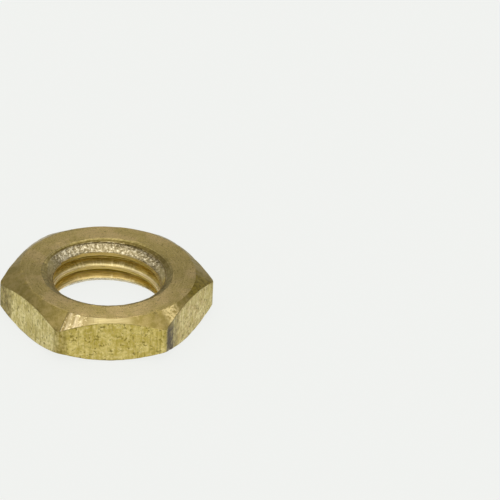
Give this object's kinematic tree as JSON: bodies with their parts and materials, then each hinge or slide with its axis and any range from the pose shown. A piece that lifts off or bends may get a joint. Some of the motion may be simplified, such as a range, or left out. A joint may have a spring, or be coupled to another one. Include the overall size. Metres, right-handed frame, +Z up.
{
  "type": "hex nut",
  "caption": "Thin brass hexagon nut with a fine metric thread, a chamfer round both faces and a countersink at each end of the bore.",
  "frame": {"origin": "centre of the lower bearing face, on the thread's axis", "axes": "+Z up along the thread's axis, X through two opposite corners of the hexagon, Y square to two wrench flats"},
  "size_m": [0.0138, 0.012, 0.003],
  "materials": {
    "brass": "turned and drawn, lightly tarnished"
  },
  "bodies": {
    "root": {"hex_nut": "brass"}
  },
  "joints": []
}
